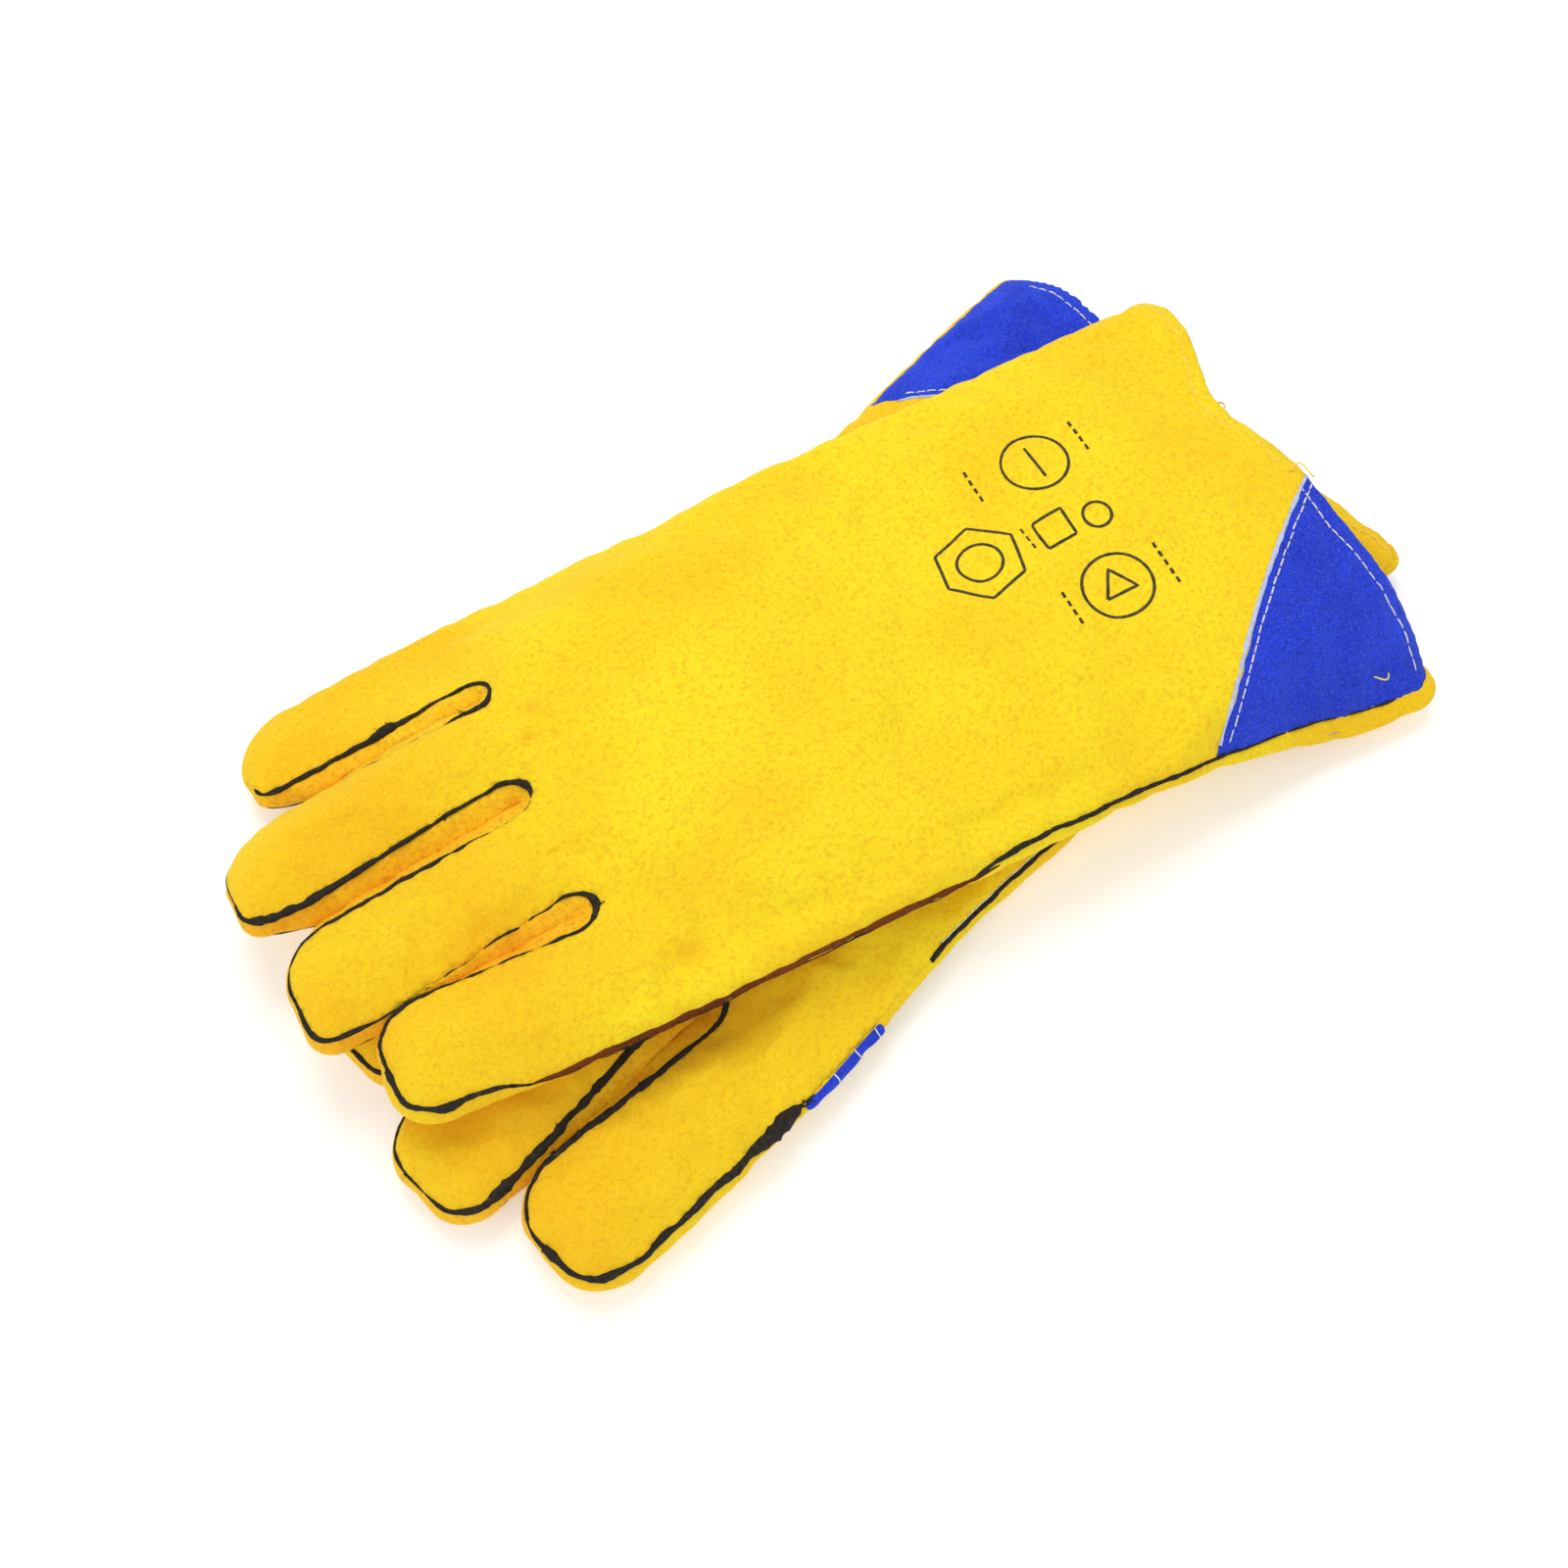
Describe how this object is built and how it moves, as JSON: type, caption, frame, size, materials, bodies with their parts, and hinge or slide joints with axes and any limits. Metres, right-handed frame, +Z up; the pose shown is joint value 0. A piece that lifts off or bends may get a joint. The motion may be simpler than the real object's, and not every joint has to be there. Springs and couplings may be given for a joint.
{
  "type": "welding gloves",
  "caption": "A pair of yellow leather welding gauntlets with blue corner patches and black welts, one lying across the other",
  "frame": {"origin": "centre of the pair's bounding box, on the ground", "axes": "X along the lower glove, cuffs toward +X and fingers toward -X; Z up"},
  "size_m": [0.374, 0.246, 0.0416],
  "materials": {
    "yellow_leather": "suede split leather",
    "blue_leather": "dyed split leather",
    "black_welt": "coated welt strip",
    "fleece_lining": "brushed fleece",
    "cloth_lining": "woven canvas",
    "yellow_thread": "sewing thread",
    "cream_thread": "sewing thread"
  },
  "bodies": {
    "left_glove": {"left_back_corner_patch": "blue_leather", "left_back_leather": "yellow_leather", "left_back_welt_little_ring": "black_welt", "left_back_welt_middle_index": "black_welt", "left_back_welt_ring_middle": "black_welt", "left_cuff_hem_stitching": "yellow_thread", "left_cuff_lining": "cloth_lining", "left_forchette_little_ring": "yellow_leather", "left_forchette_middle_index": "yellow_leather", "left_forchette_ring_middle": "yellow_leather", "left_hand_lining": "fleece_lining", "left_palm_corner_patch": "blue_leather", "left_palm_leather": "yellow_leather", "left_palm_welt_index_side": "black_welt", "left_palm_welt_little_ring": "black_welt", "left_palm_welt_middle_index": "black_welt", "left_palm_welt_ring_middle": "black_welt", "left_patch_stitching": "cream_thread", "left_thumb_strap": "blue_leather"},
    "left_thumb": {"left_thumb_leather_over": "yellow_leather", "left_thumb_leather_under": "yellow_leather", "left_thumb_welt": "black_welt"},
    "right_glove": {"right_back_corner_patch": "blue_leather", "right_back_leather": "yellow_leather", "right_back_welt_little_ring": "black_welt", "right_back_welt_middle_index": "black_welt", "right_back_welt_ring_middle": "black_welt", "right_cuff_hem_stitching": "yellow_thread", "right_cuff_lining": "cloth_lining", "right_forchette_little_ring": "yellow_leather", "right_forchette_middle_index": "yellow_leather", "right_forchette_ring_middle": "yellow_leather", "right_hand_lining": "fleece_lining", "right_palm_corner_patch": "blue_leather", "right_palm_leather": "yellow_leather", "right_palm_welt_index_side": "black_welt", "right_palm_welt_little_ring": "black_welt", "right_palm_welt_middle_index": "black_welt", "right_palm_welt_ring_middle": "black_welt", "right_patch_stitching": "cream_thread", "right_thumb_strap": "blue_leather"},
    "right_thumb": {"right_thumb_leather_over": "yellow_leather", "right_thumb_leather_under": "yellow_leather", "right_thumb_welt": "black_welt"}
  },
  "joints": [
    {"name": "right_glove_lift", "type": "slide", "parent": "left_glove", "child": "right_glove", "axis": [0, 0, 1], "range_m": [0, 0.15]},
    {"name": "left_thumb_swing", "type": "hinge", "parent": "left_glove", "child": "left_thumb", "pos_m": [-0.02802, -0.05796, 0.004], "axis": [0, 0, 1], "range_deg": [0, 55]},
    {"name": "right_thumb_swing", "type": "hinge", "parent": "right_glove", "child": "right_thumb", "pos_m": [-0.04019, -0.0339, 0.025], "axis": [0, 0, 1], "range_deg": [0, 55]}
  ]
}
